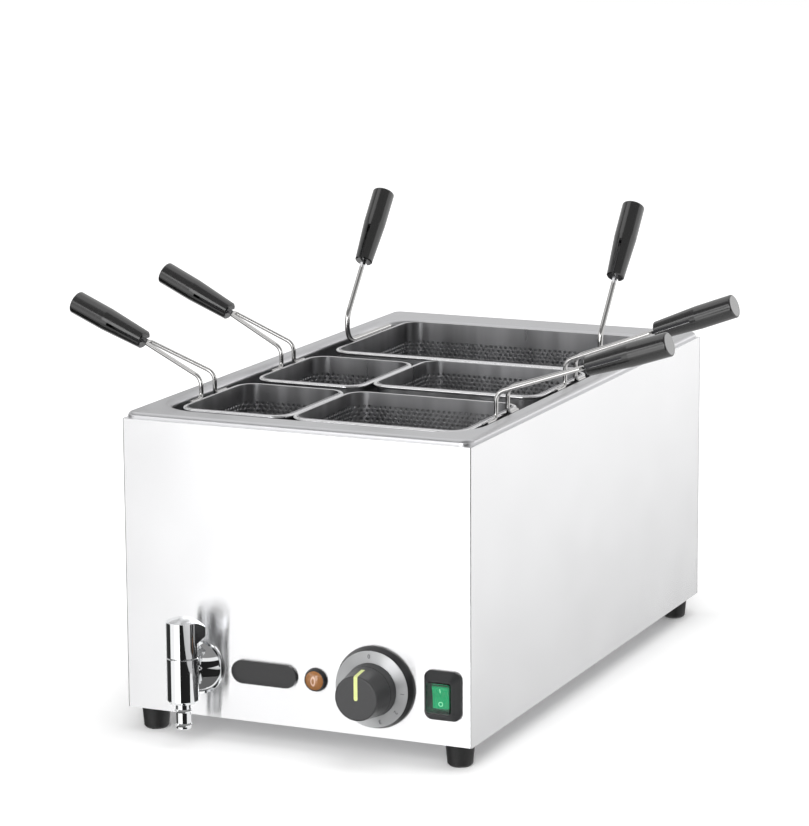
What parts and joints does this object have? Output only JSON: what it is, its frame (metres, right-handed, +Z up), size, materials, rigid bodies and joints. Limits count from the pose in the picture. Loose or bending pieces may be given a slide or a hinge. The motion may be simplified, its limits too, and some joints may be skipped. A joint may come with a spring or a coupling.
{
  "type": "pasta cooker",
  "caption": "Countertop electric pasta cooker: stainless tank with lift-out wire-handled baskets, drain tap, thermostat knob, pilot lamp and covered rocker switch.",
  "frame": {"origin": "on the ground, under the middle of the whole outline seen from above", "axes": "+Z up, -Y towards the front panel with the controls, +X to the right seen from the front"},
  "size_m": [0.5989, 0.66, 0.4403],
  "materials": {
    "bright_steel": "bright rolled stainless sheet",
    "satin_steel": "satin stainless sheet",
    "basket_steel": "drawn stainless sheet and wire",
    "chrome": "polished chrome plate",
    "black_rubber": "moulded",
    "black_plastic": "moulded, smooth",
    "ring_aluminium": "turned",
    "pointer_plastic": "moulded",
    "amber_lens": "clear moulded, unlit",
    "green_plastic": "clear moulded, unlit",
    "clear_boot": "soft clear moulding",
    "grey_plastic": "moulded",
    "element_sheath": "oxidised sheath",
    "brass": "turned",
    "hose_rubber": "extruded silicone"
  },
  "bodies": {
    "cooker": {"casing": "bright_steel", "rear_panel": "bright_steel", "base_plate": "satin_steel", "feet": "black_rubber", "foot_screws": "satin_steel", "rear_screws": "satin_steel", "tank": "satin_steel", "false_bottom": "satin_steel", "heating_element": "element_sheath", "element_clamps": "satin_steel", "sensor_bulb": "brass", "overheat_cutout": "black_plastic", "thermostat": "grey_plastic", "dial_base": "black_plastic", "dial_ring": "ring_aluminium", "lamp_bezel": "black_plastic", "lamp_lens": "amber_lens", "lamp_body": "black_plastic", "name_plate": "black_plastic", "switch_frame": "black_plastic", "switch_boot": "clear_boot", "switch_body": "black_plastic", "tap_rosette": "chrome", "tap_body": "chrome", "tap_nozzle": "chrome", "tap_nut": "brass", "drain_hose": "hose_rubber", "cable_gland": "black_plastic", "terminal_block": "grey_plastic"},
    "thermostat_knob": {"knob": "black_plastic", "knob_pointer": "pointer_plastic", "thermostat_spindle": "satin_steel"},
    "rocker": {"switch_rocker": "green_plastic"},
    "tap_lever": {"tap_handle": "chrome", "tap_spindle": "brass"},
    "front_left_set": {"front_left_basket": "basket_steel", "front_left_rim": "basket_steel", "front_left_handle": "chrome", "front_left_grip": "black_plastic"},
    "front_right_set": {"front_right_basket": "basket_steel", "front_right_rim": "basket_steel", "front_right_handle": "chrome", "front_right_grip": "black_plastic"},
    "mid_left_set": {"mid_left_basket": "basket_steel", "mid_left_rim": "basket_steel", "mid_left_handle": "chrome", "mid_left_grip": "black_plastic"},
    "mid_right_set": {"mid_right_basket": "basket_steel", "mid_right_rim": "basket_steel", "mid_right_handle": "chrome", "mid_right_grip": "black_plastic"},
    "large_set": {"large_basket": "basket_steel", "large_rim": "basket_steel", "large_handle_left": "chrome", "large_handle_right": "chrome", "large_grip_left": "black_plastic", "large_grip_right": "black_plastic"}
  },
  "joints": [
    {"name": "knob_turn", "type": "hinge", "parent": "cooker", "child": "thermostat_knob", "pos_m": [0.06487, -0.2975, 0.068], "axis": [0, 1, 0], "range_deg": [0, 270]},
    {"name": "rocker_tilt", "type": "hinge", "parent": "cooker", "child": "rocker", "pos_m": [0.12947, -0.2865, 0.0674], "axis": [1, 0, 0], "range_deg": [-14, 0]},
    {"name": "tap_turn", "type": "hinge", "parent": "cooker", "child": "tap_lever", "pos_m": [-0.11084, -0.3155, 0.09], "axis": [0, 0, 1], "range_deg": [-90, 0]},
    {"name": "front_left_lift", "type": "slide", "parent": "cooker", "child": "front_left_set", "axis": [0, 0, 1], "range_m": [0, 0.16]},
    {"name": "front_right_lift", "type": "slide", "parent": "cooker", "child": "front_right_set", "axis": [0, 0, 1], "range_m": [0, 0.16]},
    {"name": "mid_left_lift", "type": "slide", "parent": "cooker", "child": "mid_left_set", "axis": [0, 0, 1], "range_m": [0, 0.16]},
    {"name": "mid_right_lift", "type": "slide", "parent": "cooker", "child": "mid_right_set", "axis": [0, 0, 1], "range_m": [0, 0.16]},
    {"name": "large_lift", "type": "slide", "parent": "cooker", "child": "large_set", "axis": [0, 0, 1], "range_m": [0, 0.16]}
  ]
}
